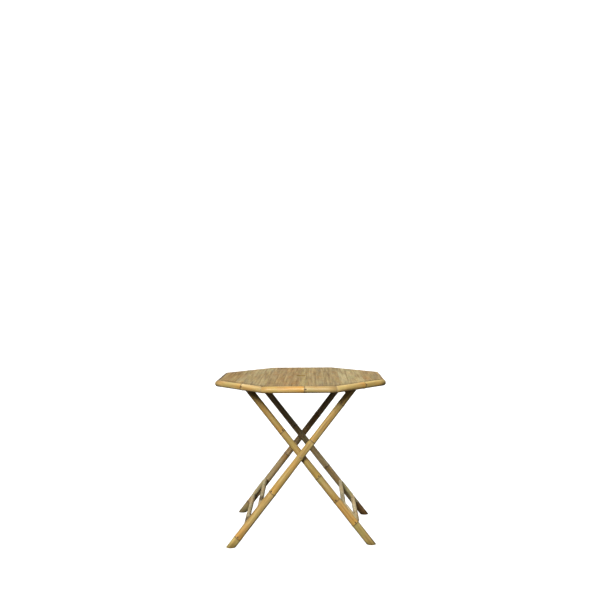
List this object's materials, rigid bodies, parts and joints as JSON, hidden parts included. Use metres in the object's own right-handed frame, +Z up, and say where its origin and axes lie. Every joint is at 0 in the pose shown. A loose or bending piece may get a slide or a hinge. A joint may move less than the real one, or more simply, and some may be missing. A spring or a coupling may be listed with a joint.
{
  "type": "folding picnic table",
  "caption": "Folding bamboo picnic table: octagonal slatted top with a central umbrella hole, on two leg frames that cross at a pivot and close like scissors.",
  "frame": {"origin": "on the floor under the middle of the table top", "axes": "+Z up, -Y the front, +X right; the leg pivots lie along Y and the outer leg frame's feet are at -X"},
  "size_m": [0.7884, 0.7884, 0.74],
  "materials": {
    "rim_bamboo": "varnished",
    "slat_bamboo": "weathered, matt",
    "leg_bamboo": "varnished",
    "stretcher_bamboo": "satin",
    "underframe_wood": "matt",
    "pivot_wood": "satin"
  },
  "bodies": {
    "outer_frame": {"outer_leg_front": "leg_bamboo", "outer_leg_back": "leg_bamboo", "outer_rung_upper": "stretcher_bamboo", "outer_rung_lower": "stretcher_bamboo", "outer_stretcher_front": "stretcher_bamboo", "outer_stretcher_back": "stretcher_bamboo", "pivot_pin_front": "pivot_wood", "pivot_pin_back": "pivot_wood", "pivot_spacer_front": "pivot_wood", "pivot_spacer_back": "pivot_wood", "pivot_collar_front": "pivot_wood", "pivot_collar_back": "pivot_wood"},
    "inner_frame": {"inner_leg_front": "leg_bamboo", "inner_leg_back": "leg_bamboo", "inner_rung_upper": "stretcher_bamboo", "inner_rung_lower": "stretcher_bamboo", "inner_stretcher_front": "stretcher_bamboo", "inner_stretcher_back": "stretcher_bamboo", "inner_rail": "underframe_wood"},
    "hinge_rail": {"hinge_rail": "underframe_wood"},
    "top": {"rim_pole_1": "rim_bamboo", "rim_pole_2": "rim_bamboo", "rim_pole_3": "rim_bamboo", "rim_pole_4": "rim_bamboo", "rim_pole_5": "rim_bamboo", "rim_pole_6": "rim_bamboo", "rim_pole_7": "rim_bamboo", "rim_pole_8": "rim_bamboo", "slat_01": "slat_bamboo", "slat_02": "slat_bamboo", "slat_03": "slat_bamboo", "slat_04": "slat_bamboo", "slat_05": "slat_bamboo", "slat_06": "slat_bamboo", "slat_07": "slat_bamboo", "slat_08": "slat_bamboo", "slat_09": "slat_bamboo", "slat_10": "slat_bamboo", "slat_11": "slat_bamboo", "slat_12": "slat_bamboo", "slat_13": "slat_bamboo", "slat_14": "slat_bamboo", "slat_15": "slat_bamboo", "slat_16": "slat_bamboo", "slat_17": "slat_bamboo", "slat_18": "slat_bamboo", "slat_19": "slat_bamboo", "slat_20": "slat_bamboo", "batten_front": "underframe_wood", "batten_back": "underframe_wood", "umbrella_collar": "underframe_wood", "hinge_saddle_front": "underframe_wood", "hinge_saddle_back": "underframe_wood", "rail_stop_front": "underframe_wood", "rail_stop_back": "underframe_wood"}
  },
  "joints": [
    {"name": "leg_fold", "type": "hinge", "parent": "outer_frame", "child": "inner_frame", "pos_m": [0, 0, 0.405], "axis": [0, 1, 0], "range_deg": [0, 68]},
    {"name": "rail_turn", "type": "hinge", "parent": "outer_frame", "child": "hinge_rail", "pos_m": [0.22595, 0, 0.6942], "axis": [0, 1, 0], "range_deg": [0, 34]},
    {"name": "top_tilt", "type": "hinge", "parent": "hinge_rail", "child": "top", "pos_m": [0.22595, 0, 0.6942], "axis": [0, 1, 0], "range_deg": [0, 90]}
  ],
  "couplings": [
    {"joint": "rail_turn", "follows": "leg_fold", "ratio": 0.5}
  ]
}
